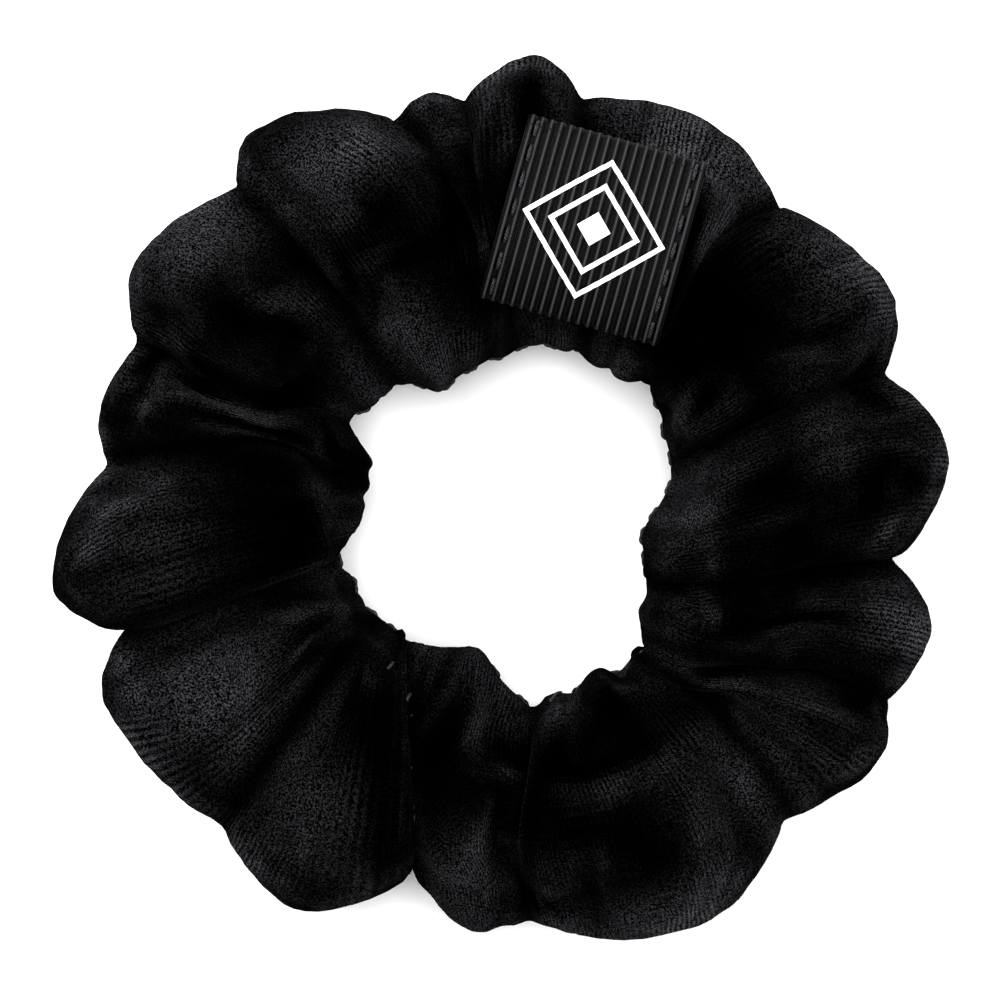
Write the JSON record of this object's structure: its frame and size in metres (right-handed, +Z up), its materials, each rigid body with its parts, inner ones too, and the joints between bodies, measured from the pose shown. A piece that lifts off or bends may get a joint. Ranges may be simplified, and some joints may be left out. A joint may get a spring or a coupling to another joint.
{
  "type": "scrunchie",
  "caption": "Gathered velvet hair tie: a puffed fabric tube over a coiled elastic ring, with a square ribbon label sewn on top.",
  "frame": {"origin": "centre of the hair tie's bounding box seen from above, on the flat underside it rests on", "axes": "+Z up along the ring's axis, out of the side that carries the label; +Y towards the label's side; +X to the right of it"},
  "size_m": [0.0904, 0.088, 0.0267],
  "materials": {
    "velvet": "matte",
    "elastic_cord": "satin",
    "sewing_thread": "satin",
    "grosgrain_ribbon": "satin",
    "print_ink": "matte"
  },
  "bodies": {
    "cover": {"velvet_cover": "velvet", "lengthwise_seam_thread": "sewing_thread", "closing_seam_thread": "sewing_thread", "ribbon_label": "grosgrain_ribbon", "label_print": "print_ink", "label_stitches_left": "sewing_thread", "label_stitches_right": "sewing_thread"},
    "ring": {"spiral_ring": "elastic_cord"}
  },
  "joints": [
    {"name": "ring_turn", "type": "hinge", "parent": "cover", "child": "ring", "pos_m": [0.00146, -0.00136, 0.0127], "axis": [0, 0, 1], "continuous": true}
  ]
}
